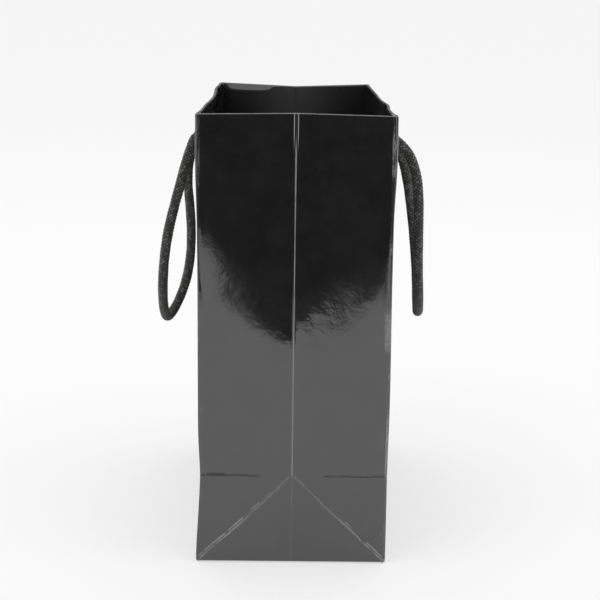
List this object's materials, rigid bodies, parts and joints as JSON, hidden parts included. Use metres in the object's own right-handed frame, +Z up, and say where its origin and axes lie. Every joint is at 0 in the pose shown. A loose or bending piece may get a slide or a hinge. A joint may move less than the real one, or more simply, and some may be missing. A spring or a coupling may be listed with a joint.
{
  "type": "rope-handled paper carrier bag",
  "caption": "Tall glossy black paper carrier bag with folded gussets, a turned-over hem, a base board and swinging rope handles.",
  "frame": {"origin": "centre of the base, on the surface the bag stands on", "axes": "+Z up to the mouth, +X across the narrow gussets, +Y along the wide panels; the gusset at -Y is the one seen in front"},
  "size_m": [0.2113, 0.25, 0.335],
  "materials": {
    "laminated_paper": "gloss",
    "rim_card": "matte",
    "board": "matte",
    "braided_rope": "matte"
  },
  "bodies": {
    "bag": {"bag_sheet": "laminated_paper", "base_board": "board", "rim_card_left": "rim_card", "rim_card_right": "rim_card", "rope_knot_left_front": "braided_rope", "rope_knot_left_rear": "braided_rope", "rope_knot_right_front": "braided_rope", "rope_knot_right_rear": "braided_rope"},
    "handle_left": {"rope_handle_left": "braided_rope"},
    "handle_right": {"rope_handle_right": "braided_rope"}
  },
  "joints": [
    {"name": "handle_left_swing", "type": "hinge", "parent": "bag", "child": "handle_left", "pos_m": [-0.075, 0, 0.3086], "axis": [0, 1, 0], "range_deg": [0, 150]},
    {"name": "handle_right_swing", "type": "hinge", "parent": "bag", "child": "handle_right", "pos_m": [0.075, 0, 0.3086], "axis": [0, -1, 0], "range_deg": [0, 150]}
  ]
}
